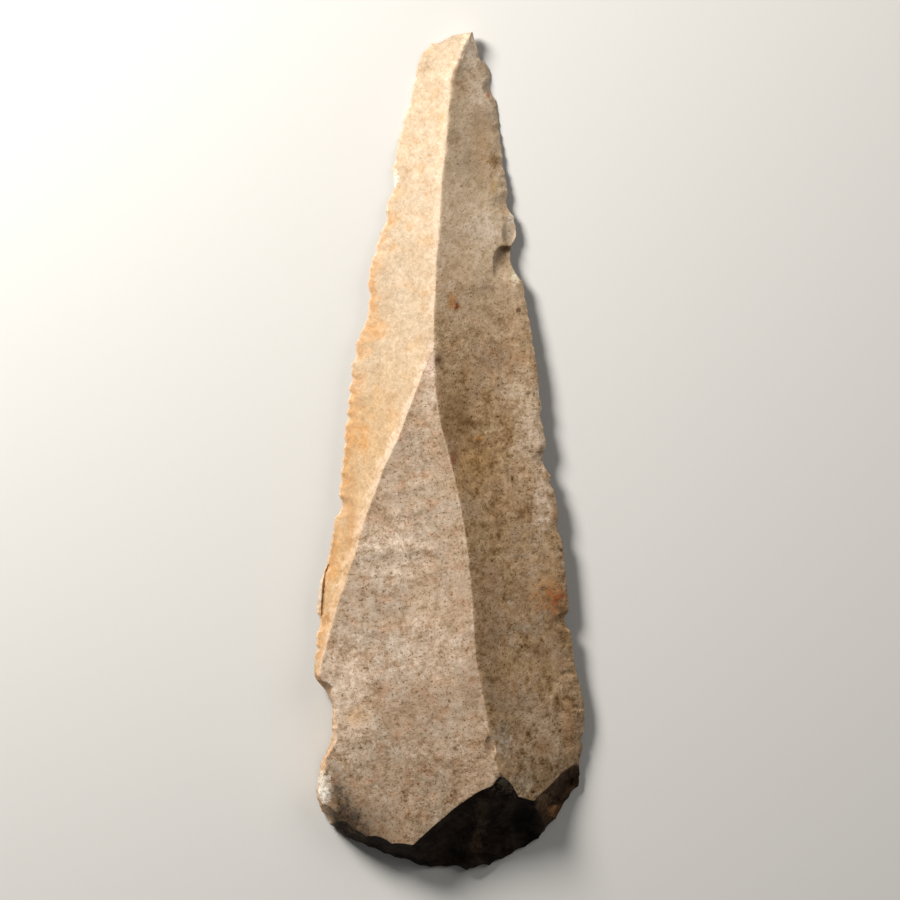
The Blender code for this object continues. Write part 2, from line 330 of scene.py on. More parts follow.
relief = {
    # how the ripples stray, as (share of a wave, size), and how they fade, as (least, share, size)
    "rippleStray": (0.25, 9),
    "rippleFade": (0.6, 0.4, 11),
    # the long facets' ripples, as (centre, length, height, seed), and lumps, as (height, size, seed)
    "leftRipples": ((6, 62), 9, 0.05, 21),
    "leftLumps": (0.03, 1.9, 22),
    "middleRipples": ((-3, 47), 7.5, 0.05, 31),
    "middleLumps": (0.03, 2.1, 32),
    "rightRipples": ((-12, 60), 10, 0.06, 41),
    "rightLumps": (0.05, 2.6, 42),
    "calmEdge": 3,  # they fade out over this much of each edge
    # low waves across the middle facet, as (x, y, turn in degrees, half length, half width, height)
    "waves": [
        (-7.4, -12.6, 5, 4.8, 1.2, 0.23), (-3.2, -12.4, -4, 2.8, 1, 0.09),
        (-4.6, -4.6, 16, 3.6, 0.8, 0.08), (-3.4, -7.4, 14, 4, 0.9, 0.09),
        (-5.2, -10.4, 8, 4.6, 0.9, 0.1), (-9, -16.9, 8, 4.5, 1.3, 0.09), (-5, -22.4, 4, 7, 1.8, 0.1),
        (-2, -29.6, -3, 8, 1.6, 0.06), (0.5, 6.2, 20, 2.2, 0.5, 0.04),
    ],
    "waveStray": (0.25, 2.3, 81),  # height, size and seed
    "waveLean": 1.4,  # each wave is this much steeper on its lower side
    "ridgeChip": (5.35, -37.9, 8.42, 0.45, 0.2, 0.27),  # x, y, height, curls in x and y, tilt
    # hollows sunk into the right facet, as (x, y, half width, half length, depth, power, tilt): a tilt of
    # 1 is deepest at its upper end, -1 at its lower end
    "bites": [(8.4, 27.4, 1.85, 2, 0.62, 6, -0.9), (7.7, 23.2, 2.3, 2.5, 0.85, 8, 0.9)],
    # the sliver split off the left edge: plan of its groove as (y, x), depth of the floor, its curl, and
    # how fast it rises past its ends
    "groove": [(-14.6, -15.3), (-15.5, -15.62), (-17, -15.8), (-18.6, -15.95), (-20.8, -16.05)],
    "grooveDepth": 0.75,
    "grooveCurl": 9,
    "grooveRise": 2,
}


# Ripples round a point: height * sin(2 pi r / length), r being the distance, bent and faded by lumps.
def ripples(x, y, centre, length, height, seed):
    stray, straySize = relief["rippleStray"]
    least, share, fadeSize = relief["rippleFade"]
    r = np.hypot(x - centre[0], y - centre[1])
    wave = np.sin(2 * math.pi * (r / length + stray * lumps(x, y, straySize, seed)))
    return height * wave * (least + share * lumps(x, y, fadeSize, seed + 1))


# Waves: height * exp(-(a / half length)^4 - (b / half width)^2), a along a wave and b across it.
def waves(x, y):
    stray, size, seed = relief["waveStray"]
    bend = stray * lumps(x, y, size, seed)
    z = np.zeros_like(x)
    for x0, y0, turn, halfLong, halfWide, height in relief["waves"]:
        c, d = math.cos(math.radians(turn)), math.sin(math.radians(turn))
        a = (x - x0) * c + (y - y0) * d
        b = (y - y0) * c - (x - x0) * d + bend
        b = np.where(b < 0, relief["waveLean"] * b, b)
        z = z + height * np.exp(-((a / halfLong) ** 4) - (b / halfWide) ** 2)
    return z


# The lines that carry the long facets at y: plan and height of the edges, the arm and the ridge.
def rails(y):
    left, right = through(flake["leftEdge"], y), through(flake["rightEdge"], y)
    ridge, ridgeZ = through(flake["ridgePlan"], y), through(flake["ridgeHeight"], y)
    held = np.maximum(through(flake["armPlan"], y), left + flake["armInset"])
    arm = np.where(y > flake["fork"], ridge, held)
    armZ = ridgeZ - through(flake["middleSlope"], y) * (ridge - arm)
    leftZ, rightZ = underside(left, y) + flake["railLift"], underside(right, y) + flake["railLift"]
    return (left, leftZ), (arm, armZ), (ridge, ridgeZ), (right, rightZ)


# How deep a facet of this width is hollowed.
def hollowed(depth, width):
    return depth * np.clip(width / flake["fullWidth"], 0, 1)


# The three long facets, each ruled between its rails, less 4 * hollow * u * (1 - u), u going across it.
def longFacets(lines, x, y):
    (left, leftZ), (arm, armZ), (ridge, ridgeZ), (right, rightZ) = lines
    u = (x - left) / (arm - left)
    hollow = hollowed(flake["leftHollow"], arm - left)
    leftFacet = leftZ + (armZ - leftZ) * u - 4 * hollow * u * (1 - u)
    u = 1 - (ridge - x) / np.maximum(ridge - arm, 2.0)  # it has no width above the fork
    hollow = hollowed(flake["middleHollow"], ridge - arm)
    middleFacet = ridgeZ - through(flake["middleSlope"], y) * (ridge - x)
    middleFacet = middleFacet + np.clip(y - flake["fork"], 0, None) * flake["forkRise"]
    middleFacet -= 4 * hollow * np.clip(u, -0.2, 1.2) * (1 - u)
    u = (x - ridge) / (right - ridge)
    rightFacet = ridgeZ + (rightZ - ridgeZ) * u - 4 * through(flake["rightHollow"], y) * u * (1 - u)
    calm = np.clip(np.minimum(x - left, right - x) / relief["calmEdge"], 0, 1)

    # one facet's ripples, plus height * lumps
    def rough(side):
        height, size, seed = relief[side + "Lumps"]
        return ripples(x, y, *relief[side + "Ripples"]) + height * lumps(x, y, size, seed)

    leftFacet += calm * rough("left")
    middleFacet += calm * (rough("middle") + waves(x, y))
    rightFacet += calm * rough("right")
    return leftFacet, middleFacet, rightFacet


# The walls that chips and notches leave along one edge: steep * (inset - depth) over the rim, inset being
# the distance from the plain edge. A wall meets its facet at reach times its depth.
def edgeWalls(side, lines, x, y):
    (left, leftZ), (arm, armZ), (ridge, ridgeZ), (right, rightZ) = lines
    low = underside(x, y) + flake["rim"]
    if side == "left":
        inset, facetSlope = x - left, (armZ - leftZ) / (arm - left)
    else:
        inset, facetSlope = right - x, (ridgeZ - rightZ) / (right - ridge)
    facetSlope = np.maximum(facetSlope, 0.3)  # the facets flatten towards the butt
    depth, reach = chipAt(smallChips[side], y)
    steep = facetSlope * reach / (reach - 1)
    if side == "left":
        blunt = backing(y)
        depth = depth + blunt
        share, size, seed = chips["backingRough"]
        wall = through(chips["backingSlope"], y) * (1 + share * lumps(x, y, size, seed))
        steep = steep + (wall - steep) * np.clip(blunt / chips["backingFull"], 0, 1)
    walls = [low + steep * (inset - depth)]
    for notch in chips[side]:
        steep = facetSlope * notch[3] / (notch[3] - 1)
        walls.append(low + steep * (inset - notchAt(notch, y)))
    return walls


# The groove behind the sliver: its floor + curl * (distance from its line)^2, rising past both its ends.
def grooveSurface(lines, x, y):
    (left, leftZ), (arm, armZ), _, _ = lines
    line = through(relief["groove"], y)
    (yTop, _), (yEnd, _) = relief["groove"][0], relief["groove"][-1]
    past = np.clip(y - yTop, 0, None) + np.clip(yEnd - y, 0, None)
    floor = leftZ + (armZ - leftZ) * (line - left) / (arm - left) - relief["grooveDepth"]
    floor = floor + relief["grooveRise"] * past
    return np.maximum(floor, underside(x, y) + flake["rim"]) + relief["grooveCurl"] * (x - line) ** 2


# Hollows sunk into a facet: depth * (1 - r^power), r being the cubic distance from the middle.
def biteSurfaces(facet, x, y):
    made = []
    for x0, y0, halfX, halfY, depth, power, tilt in relief["bites"]:
        r = np.cbrt(np.abs((x - x0) / halfX) ** 3 + np.abs((y - y0) / halfY) ** 3)
        sunk = depth * (1 + tilt * np.clip((y - y0) / halfY, -1, 1)) / (1 + abs(tilt))
        made.append(facet - sunk * (1 - r**power))
    return made


# The working end's scars, the large ones first.
def scarSurfaces(x, y):
    made = []
    for k, scar in enumerate(scars["large"] + smallScars):
        floor = scarFloor(x, y, scar, scars["start"] + underside(scar[0], scar[1]))
        if k < len(scars["large"]):
            height, size = scars["lumps"]
            rough = ripples(x, y, scar[:2], *scars["ripples"], 50 + k)
            floor = floor + (rough + height * lumps(x, y, size, 60 + k))
        made.append(floor)
    return made


# The chip on the ridge: floor + curlX * dx^2 + curlY * dy^2 + tilt * (dx - dy), from its middle.
def chipSurface(x, y):
    x0, y0, floor, curlX, curlY, tilt = relief["ridgeChip"]
    return floor + curlX * (x - x0) ** 2 + curlY * (y - y0) ** 2 + tilt * (x - x0 - y + y0)


# Every surface that the upper side could have at (x, y), in groups. The lowest of them is the stone.
def surfaces(x, y):
    lines = rails(y)
    leftFacet, middleFacet, rightFacet = longFacets(lines, x, y)
    groups = {
        "left": edgeWalls("left", lines, x, y) + [grooveSurface(lines, x, y)],
        "right": edgeWalls("right", lines, x, y) + biteSurfaces(rightFacet, x, y),
        "scar": scarSurfaces(x, y),
    }
    return [leftFacet, middleFacet, rightFacet, chipSurface(x, y)], groups


# All of them in one stack, the long facets first.
def stacked(x, y):
    facets, groups = surfaces(x, y)
    return np.stack(facets + groups["left"] + groups["right"] + groups["scar"])


# The plan grid: rows from the front edge to the butt, columns from the left edge to the right one.
def planGrid():
    (buttLeftX, buttLeftY), (buttRightX, buttRightY) = flake["buttEdge"][0], flake["buttEdge"][-1]
    (frontLeftX, frontLeftY), (frontRightX, frontRightY) = flake["frontEdge"][0], flake["frontEdge"][-1]
    even = np.linspace(0, 1, grid["crowdSteps"])
    crowd = np.cumsum(1 + grid["frontCrowd"] * np.exp(-((even / grid["frontReach"]) ** 2)))
    t = np.interp(np.linspace(crowd[0], crowd[-1], grid["rows"]), crowd, even)[:, None]
    share = np.linspace(0, 1, grid["columns"])[None, :]
    share = share - grid["sideCrowd"] * np.sin(2 * math.pi * share) / (2 * math.pi)
    leftY = frontLeftY + (buttLeftY - frontLeftY) * t
    rightY = frontRightY + (buttRightY - frontRightY) * t
    leftX = through(flake["leftEdge"], leftY) + edgeDepth("left", leftY)
    rightX = through(flake["rightEdge"], rightY) - edgeDepth("right", rightY)
    x = leftX + (rightX - leftX) * share
    frontChord = frontLeftY + (frontRightY - frontLeftY) * share
    front = through(flake["frontEdge"], frontLeftX + (frontRightX - frontLeftX) * share)
    # the front row slides inwards until the lowest surface is one rim above the underside
    inner, outer = front + grid["frontSearch"][0], front - grid["frontSearch"][1]
    for _ in range(grid["frontSteps"]):
        middle = (inner + outer) / 2
        high = stacked(x[:1], middle).min(0) > underside(x[:1], middle) + flake["rim"]
        inner, outer = np.where(high, middle, inner), np.where(high, outer, middle)
    ends = np.array([0, -1])
    inner[:, ends] = front[:, ends]
    butt = through(flake["buttEdge"], buttLeftX + (buttRightX - buttLeftX) * share)
    buttChord = buttLeftY + (buttRightY - buttLeftY) * share
    y = leftY + (rightY - leftY) * share
    y = y + (front - frontChord) * (1 - t) ** 2
    y = y + (inner - front) * (1 - t) ** grid["endPower"] + (butt - buttChord) * t ** grid["endPower"]
    return x, y


# Grid points near a crease move onto it, so that ridges stay crisp. Where the two lowest surfaces
# differ by d, the step in rows and columns is -d * gradient / gradient^2, if that is under snapReach.
def snapToCreases(x, y):
    z = stacked(x, y)
    order = np.argsort(z, axis=0)[:2]
    gap = np.take_along_axis(z, order, 0)
    gap = gap[1] - gap[0]
    slopes = []
    for axis in (1, 2):
        slope = np.take_along_axis(np.gradient(z, axis=axis), order, 0)
        slopes.append(slope[1] - slope[0])
    along, across = slopes
    along[[0, -1], :] = 0
    across[:, [0, -1]] = 0
    size = along**2 + across**2 + 1e-12
    stepRow, stepColumn = -gap * along / size, -gap * across / size
    near = (np.abs(stepRow) < grid["snapReach"]) & (np.abs(stepColumn) < grid["snapReach"])
    stepRow, stepColumn = stepRow * near, stepColumn * near
    moved = []
    for plan in (x, y):
        perRow, perColumn = np.gradient(plan)
        moved.append(plan + stepRow * perRow + stepColumn * perColumn)
    return moved


print("flake: plan grid")
x, y = planGrid()
for _ in range(grid["snaps"]):
    x, y = snapToCreases(x, y)
print("flake: surfaces", x.shape)

wear = {
    # how far below its line a crease between long facets or scars is rounded off, times four
    "ridge": 0.3,
    "scar": 0.1,
    # how this changes along the ridge, as (y, factor), and how unevenly, as (least, share, size, seed)
    "along": [(-30, 1), (-24, 0.55), (8, 0.55), (15, 1), (30, 1), (44, 1.6), (48, 3.5)],
    "uneven": (0.8, 0.5, 1.3, 71),
    "thinnest": 0.1,  # thickness of the worn edge
}


# The worn stone: the lowest surface, less (k - gap)^2 / 4k where the next is within k above it.
def wornHeight(x, y):
    z = stacked(x, y)
    first, second = np.argpartition(z, 1, axis=0)[:2]
    pair = np.partition(z, 1, axis=0)
    gap = pair[1] - pair[0]
    least, share, size, seed = wear["uneven"]
    k = wear["ridge"] * (least + share * lumps(x, y, size, seed))
    k = k * np.interp(y, *np.array(wear["along"]).T)
    k = np.where(np.maximum(first, second) < 3, k, wear["scar"])  # the first three are the long facets
    k = np.clip(np.minimum(k, pair[0] - underside(x, y)), 1e-4, None)
    z = pair[0] - np.clip(k - gap, 0, None) ** 2 / (4 * k)
    return np.maximum(z, underside(x, y) + wear["thinnest"])


z = wornHeight(x, y)

underLook = {
    "blow": (1, 53.5),  # where the flake was struck
    "ripples": (4.2, 0.08, 92),  # length, height and seed
    "rippleStart": (12, 0.3),  # they grow over this distance from the blow, from this share
    "scar": (0.8, 42.6, 2, 2.7, 0.28),  # on the bulb: x, y, half width, half length, depth
    "scarStray": (0.12, 1.4, 91),  # how its rim strays: share, size and seed
}


# The underside as struck: the arched underside, plus ripples round the blow, less the bulb's small scar,
# which is depth * (1 - r^2) within r = 1.
def struckUnderside(x, y):
    x0, y0, halfWide, halfLong, depth = underLook["scar"]
    share, size, seed = underLook["scarStray"]
    r = np.hypot((x - x0) / halfWide, (y - y0) / halfLong) + share * lumps(x, y, size, seed)
    grown, least = underLook["rippleStart"]
    reach = np.hypot(x - underLook["blow"][0], y - underLook["blow"][1])
    wave = ripples(x, y, underLook["blow"], *underLook["ripples"]) * np.clip(reach / grown, least, 1)
    left, right = through(flake["leftEdge"], y), through(flake["rightEdge"], y)
    inside = np.clip(np.minimum(x - left, right - x), 0, 1)
    return eased(arched(x, y) + inside * (wave - depth * np.clip(1 - r * r, 0, 1)))


# The four corners of each grid cell, in turn.
def corners(values):
    return values[:-1, :-1], values[:-1, 1:], values[1:, 1:], values[1:, :-1]


# Two triangles for each upper cell, split along the diagonal that lies closer to the surface.
def upperFaces(index):
    true = wornHeight(sum(corners(x)) / 4, sum(corners(y)) / 4)
    zA, zB, zC, zD = corners(z)
    alongAC = (np.abs((zA + zC) / 2 - true) <= np.abs((zB + zD) / 2 - true))[..., None]
    a, b, c, d = corners(index)
    first = np.where(alongAC, np.stack([a, b, c], -1), np.stack([a, b, d], -1))
    second = np.where(alongAC, np.stack([a, c, d], -1), np.stack([b, c, d], -1))
    return np.concatenate([first.reshape(-1, 3), second.reshape(-1, 3)]).tolist()


# Quads for the underside's coarser grid. At both ends each cell also takes in the rim's finer points.
def underFaces(under):
    step = grid["underStep"]
    a, b, c, d = corners(under[1:-1, ::step])
    faces = np.stack([a, d, c, b], -1).reshape(-1, 4).tolist()
    for end, inner in ((0, 1), (-1, -2)):
        for k in range(0, grid["columns"] - 1, step):
            rimPoints = under[end, k : k + step + 1].tolist()
            cell = under[inner, [k, k + step]].tolist() + rimPoints[::-1]
            faces.append(cell if end == 0 else cell[::-1])
    return faces


# The closed mesh: the upper side, the underside on the points that it keeps, and the rim's wall.
def flakeMesh():
    index = np.arange(x.size).reshape(x.shape)
    keep = np.zeros(x.shape, bool)
    keep[:, :: grid["underStep"]] = True
    keep[[0, -1], :] = True
    under = np.full(x.shape, -1)
    under[keep] = x.size + np.arange(keep.sum())
    rim = np.concatenate([index[0, :-1], index[:-1, -1], index[-1, :0:-1], index[:0:-1, 0]])
    rimNext = np.roll(rim, -1)
    below = under.reshape(-1)
    walls = np.stack([rim, below[rim], below[rimNext], rimNext], -1)
    faces = upperFaces(index) + underFaces(under) + walls.tolist()
    points = np.concatenate([
        np.stack([x, y, z], -1).reshape(-1, 3),
        np.stack([x[keep], y[keep], struckUnderside(x[keep], y[keep])], -1),
    ])
    return points, faces, keep


# An object that holds this data, put into the scene.
def placed(name, data):
    made = bpy.data.objects.new(name, data)
    bpy.context.scene.collection.objects.link(made)
    return made


points, faces, keep = flakeMesh()
boxLow, boxHigh = (np.array(corner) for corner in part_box("stone"))
scale = (boxHigh[1] - boxLow[1]) / flake["length"]
points = points * scale + [(boxLow[0] + boxHigh[0]) / 2, (boxLow[1] + boxHigh[1]) / 2, boxLow[2]]
mesh = bpy.data.meshes.new("flakedStone")
mesh.from_pydata(points, [], faces)
mesh.update()
stone = placed("flakedStone", mesh)
mesh.shade_smooth()
mesh.set_sharp_from_angle(angle=math.radians(50))
print("flake:", len(points), "points", sum(len(f) - 2 for f in faces), "triangles")

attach(stone, "root")
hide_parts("stone")


# One output socket in a material. Sums and products of sockets and numbers add Math nodes.
class Wire:
    def __init__(self, tree, socket=None):
        self.tree = tree
        self.socket = socket

    # a node of this kind, by one of its outputs
    def node(self, kind, settings, sockets, out=0):
        made = self.tree.nodes.new("ShaderNode" + kind)
        for name, value in settings.items():
            setattr(made, name, value)
        for name, value in sockets.items():
            if isinstance(value, Wire):
                self.tree.links.new(value.socket, made.inputs[name])
            else:
                made.inputs[name].default_value = value
        return Wire(self.tree, made.outputs[out])

    # one Math node on two values
    def math(self, operation, a, b):
        return self.node("Math", {"operation": operation}, {0: a, 1: b})

    def __add__(self, other):
        return self.math("ADD", self, other)

    def __radd__(self, other):
        return self.math("ADD", other, self)

    def __sub__(self, other):
        return self.math("SUBTRACT", self, other)

    def __rsub__(self, other):
        return self.math("SUBTRACT", other, self)

    def __mul__(self, other):
        return self.math("MULTIPLY", self, other)

    def __rmul__(self, other):
        return self.math("MULTIPLY", other, self)

    # the larger of two
    def larger(self, other):
        return self.math("MAXIMUM", self, other)

    # 0 where this is low or less, 1 where it is high or more, eased between
    def band(self, low, high):
        limits = {"Value": self, "From Min": low, "From Max": high}
        return self.node("MapRange", {"interpolation_type": "SMOOTHSTEP"}, limits)

    # this colour or vector, times a number
    def toned(self, factor):
        return self.node("VectorMath", {"operation": "SCALE"}, {0: self, "Scale": factor})


# Colour a where the mask is 0 and b where it is 1: a + (b - a) * mask.
def mixColour(mask, a, b):
    a, b = (c if isinstance(c, Wire) else (*c, 1.0) for c in (a, b))
    return mask.node("Mix", {"data_type": "RGBA", "clamp_factor": True}, {0: mask, 6: a, 7: b}, 2)


stoneLook = {
    # left facet: pale, and more orange towards its edge and its lower end
    "cream": (0.55, 0.43, 0.305),
    "peach": (0.525, 0.347, 0.187),
    "orange": (0.55, 0.285, 0.11),
    # middle facet
    "beige": (0.47, 0.34, 0.236),
    "grey": (0.455, 0.352, 0.262),
    "rose": (0.475, 0.30, 0.194),
    # right facet
    "olive": (0.43, 0.283, 0.156),
    "umber": (0.28, 0.16, 0.08),
    "ochre": (0.46, 0.28, 0.14),
    "pale": (0.60, 0.465, 0.33),
    # pale ridges from wear and painted highlight, and the painted shade that the working end's scars
    # show, and its left flank in part
    "wearAndHighlight": (0.665, 0.525, 0.40),
    "dark": (0.017, 0.012, 0.010),
    "darkPale": (0.040, 0.027, 0.019),
    "darkBrown": (0.085, 0.046, 0.022),
    "flank": (0.028, 0.016, 0.008),
    "flankPale": (0.13, 0.088, 0.052),
    "leftEndDark": (0.05, 0.036, 0.025),
    "toneShare": (0.84, 1, 1.24),  # each channel takes the tone to this power: dark grains are browner
    "roughness": 0.8,
    "specular": 0.04,
    "bumpStrength": 0.6,
    "bumpDistance": 0.00012,
    # strength of the pale ridges' wear and painted highlight, of the left edge's painted highlight, of
    # the darkening near the left end of the working edge and of the painted shade towards the working end
    "ridgeWearAndHighlight": 0.5,
    "armWearAndHighlight": 0.65,
    "lowRidgeWearAndHighlight": 0.4,
    "edgeHighlight": 0.65,
    "leftEndDarkening": 0.92,
    "paintedFalloff": 0.22,
    "specks": (0.55, 0.5),  # the larger and the smaller ones
    # patterns, as (seed, size in millimetres, octaves, their strength), and how drawn out and turned
    "clouds": (1, 7, 2, 0.5),
    "patches": (2, 3, 3, 0.55),
    "mottle": (3, 1.6, 4, 0.7),
    "tint": (7, 1.6, 2, 0.5),
    "grain": (4, 0.42, 2, 0.9),
    "streaks": (6, 0.4, 2, 0.7, 4, 0.35),
    "blotch": (11, 0.8, 1, 0.5),
    "flecks": (10, 0.7, 2, 0.7),
    "largeSpecks": (8, 0.5, 2, 0.6),
    "smallSpecks": (9, 0.28, 1, 0.6),
    # stains, and a few painted shades and highlights, as (x, y, half width, half height, strength,
    # raggedness, colour), in millimetres
    "stainsAndPaintedLight": [
        (0.6, 3, 2.6, 6, 0.75, 1.2, (0.235, 0.135, 0.065)),
        (3, -2.2, 3.6, 5, 0.75, 1.2, (0.375, 0.215, 0.088)),
        (10.6, 3, 3.2, 8.5, 0.6, 1, (0.55, 0.44, 0.335)),
        (8.5, -6.8, 4, 4.2, 0.35, 1, (0.36, 0.22, 0.11)),
        (5.4, 11.8, 4.2, 2.2, 0.55, 1, (0.25, 0.155, 0.09)),
        (5.8, 17, 3.5, 2.6, 0.35, 1, (0.33, 0.22, 0.14)),
        (3.9, 38, 2, 6, 0.5, 1, (0.42, 0.26, 0.13)),
        (4.2, 45, 2.2, 3.6, 0.5, 1, (0.72, 0.58, 0.45)),
        (4, 28, 3.6, 3.6, 0.55, 1, (0.72, 0.60, 0.47)),
        (4.6, -22, 2.6, 9, 0.5, 1, (0.27, 0.165, 0.095)),
        (13.6, -21, 1.8, 6.5, 0.55, 1, (0.27, 0.155, 0.08)),
        (12.3, -35.4, 5.2, 6, 0.7, 1, (0.60, 0.42, 0.27)),
        (-7.6, -13, 6, 5.5, 0.5, 1, (0.65, 0.535, 0.43)),
        # painted highlight on the wave's crest, and painted shadow beneath it
        (-8.4, -12.2, 3.6, 1, 0.3, 1, (0.72, 0.62, 0.51)),
        (-9, -14.4, 4, 0.8, 0.2, 1.2, (0.35, 0.255, 0.18)),
        (-8.6, -20.2, 4.8, 1.5, 0.45, 1.5, (0.31, 0.23, 0.165)),
        (-4, -25, 7.5, 4.5, 0.4, 1, (0.64, 0.51, 0.40)),
        (-13.2, -31.5, 4.4, 10.5, 0.65, 1, (0.70, 0.555, 0.43)),
        (2.6, -29.8, 1.8, 4.2, 0.55, 1.2, (0.32, 0.215, 0.14)),
        (-3.5, -33.6, 6.5, 3.4, 0.3, 1, (0.34, 0.235, 0.16)),
        (9, -42.2, 1.8, 1.5, 0.6, 1.5, (0.56, 0.45, 0.30)),
        (6.6, -35.8, 1.5, 3, 0.5, 1.5, (0.50, 0.42, 0.34)),
        (-10.5, -46.2, 5, 4, 0.4, 1.5, (0.25, 0.19, 0.14)),
        # painted highlight on the right facet's shaded apex
        (2.6, 50, 1.7, 3, 1, 1, (0.95, 0.76, 0.58)),
        (2.4, 36, 2.4, 3.2, 0.4, 1.2, (0.33, 0.25, 0.17)),
        (4.6, 20.2, 1.7, 1.4, 0.55, 1.5, (0.30, 0.22, 0.15)),
        (8.4, 7.4, 2.4, 2.2, 0.4, 1, (0.68, 0.55, 0.40)),
        (5.8, 2.6, 1.8, 1.3, 0.35, 1.5, (0.56, 0.42, 0.28)),
        (-0.8, -2.6, 2, 1.3, 0.35, 1.2, (0.30, 0.21, 0.15)),
        (5.6, -29.6, 2.4, 4.4, 0.5, 1.2, (0.20, 0.125, 0.07)),
        (11.4, -25.2, 1.8, 1.8, 0.5, 1.5, (0.20, 0.12, 0.065)),
        (9, -18.4, 2, 2.2, 0.4, 1.2, (0.22, 0.14, 0.08)),
        # painted shade: darker towards the working end, where the key light falls off
        (-1.6, -41.8, 3.4, 1.7, 0.45, 1.2, (0.29, 0.21, 0.15)),
        (-1, -37.6, 4, 1.6, 0.3, 1, (0.64, 0.50, 0.39)),
        (11.6, -37.4, 1.6, 1.6, 0.65, 1.5, (0.32, 0.165, 0.065)),
        (-12.4, -5, 1.5, 7, 0.4, 1, (0.53, 0.29, 0.12)),
        (-15, -11.5, 1, 4.2, 0.7, 1, (0.36, 0.20, 0.085)),
        (-12.4, -10.5, 1, 6, 0.6, 1, (0.47, 0.25, 0.10)),
        (-2.4, 11, 1.1, 4.5, 0.6, 1, (0.60, 0.45, 0.36)),
        (12.7, -18.2, 2.6, 2.2, 0.75, 3, (0.42, 0.20, 0.07)),
        (13.5, -18.9, 1.8, 1.3, 0.75, 4, (0.38, 0.105, 0.035)),
        (0.8, 18, 0.55, 0.8, 0.95, 1, (0.16, 0.035, 0.015)),
        (0.15, 18.6, 0.8, 1.6, 0.8, 2, (0.50, 0.24, 0.09)),
        (8.7, 17.6, 0.5, 0.5, 0.9, 1.5, (0.14, 0.07, 0.03)),
        (4.2, -9.4, 0.8, 0.6, 0.6, 2.5, (0.16, 0.09, 0.045)),
        (6.2, -9.1, 0.7, 0.6, 0.6, 2.5, (0.16, 0.09, 0.045)),
        (11.6, -6.4, 2.2, 5, 0.6, 1, (0.55, 0.43, 0.335)),
        (-1.4, 11.2, 0.9, 1, 0.85, 2, (0.15, 0.085, 0.045)),
        (3.6, 1.4, 0.8, 0.6, 0.9, 2, (0.56, 0.28, 0.09)),
        (2.6, 3.3, 1.7, 1, 0.85, 2.5, (0.16, 0.085, 0.033)),
        (0.45, -1, 0.5, 1.7, 0.85, 1.5, (0.25, 0.10, 0.055)),
        (7.8, -3.6, 0.2, 0.6, 0.9, 1, (0.06, 0.04, 0.03)),
        (5.5, 36.7, 0.9, 1.5, 0.8, 2.5, (0.25, 0.14, 0.05)),
        (5.5, 33.1, 0.8, 1.8, 0.6, 2, (0.42, 0.27, 0.11)),
        (4.8, 44.6, 0.4, 0.6, 0.8, 1, (0.48, 0.17, 0.05)),
        (0.9, 46, 0.9, 0.5, 0.5, 3, (0.30, 0.15, 0.08)),
        (-0.9, 41.6, 0.6, 1.3, 0.6, 2.5, (0.64, 0.33, 0.12)),
        (-2.6, 37, 0.5, 0.3, 0.6, 2, (0.45, 0.26, 0.10)),
        # partly a brown stain, partly painted shade in the hollow below its upper wall
        (6.6, 24, 1.2, 1.8, 0.85, 0.6, (0.26, 0.175, 0.105)),
        (6.9, 25.4, 1.3, 0.8, 0.85, 0.5, (0.16, 0.085, 0.033)),
        (7.8, 29.2, 0.7, 1.1, 0.9, 0.5, (0.82, 0.72, 0.6)),
        (7.6, 27.6, 0.9, 2, 0.6, 0.5, (0.62, 0.50, 0.38)),
        (8.2, 22, 0.9, 1.7, 0.8, 0.5, (0.74, 0.66, 0.50)),
        (-6.95, 34.2, 0.6, 1.5, 0.95, 1, (0.92, 0.86, 0.78)),
        (-15.9, -42.2, 1.35, 2.9, 1, 1.2, (0.93, 0.87, 0.78)),
        # painted shade along the top of a working-end scar, then reddish-brown stone with painted shade
        # in the ridge chip's pit
        (6.15, -40.8, 0.7, 0.7, 0.85, 1, (0.09, 0.055, 0.035)),
        (4.9, -37.1, 0.6, 1, 0.45, 2.5, (0.30, 0.18, 0.11)),
        (-16.3, -17.5, 0.5, 3.2, 0.8, 0.5, (0.62, 0.55, 0.46)),
        (-11.8, -33.2, 2, 1.6, 0.5, 2, (0.54, 0.31, 0.13)),
        (14.9, -34.5, 1.3, 5, 0.45, 1.5, (0.50, 0.25, 0.10)),
    ],
    # and those of the working end, laid over its painted shade; the near-black one is painted shade too
    "endStainsAndShade": [
        (3.9, -45.3, 1.4, 3.4, 0.6, 1, (0.11, 0.076, 0.05)),
        (3.3, -49.2, 0.9, 2.6, 0.55, 1, (0.12, 0.075, 0.042)),
        (9.2, -46.6, 2.6, 3.6, 0.85, 0.8, (0.005, 0.0035, 0.003)),
        (6.9, -41.9, 1.8, 1.2, 0.6, 4, (0.15, 0.115, 0.08)),
        (11.9, -44.1, 1.5, 1.9, 0.75, 1.2, (0.15, 0.09, 0.05)),
        (13, -45.3, 1, 1, 0.8, 1.2, (0.27, 0.125, 0.05)),
    ],
}
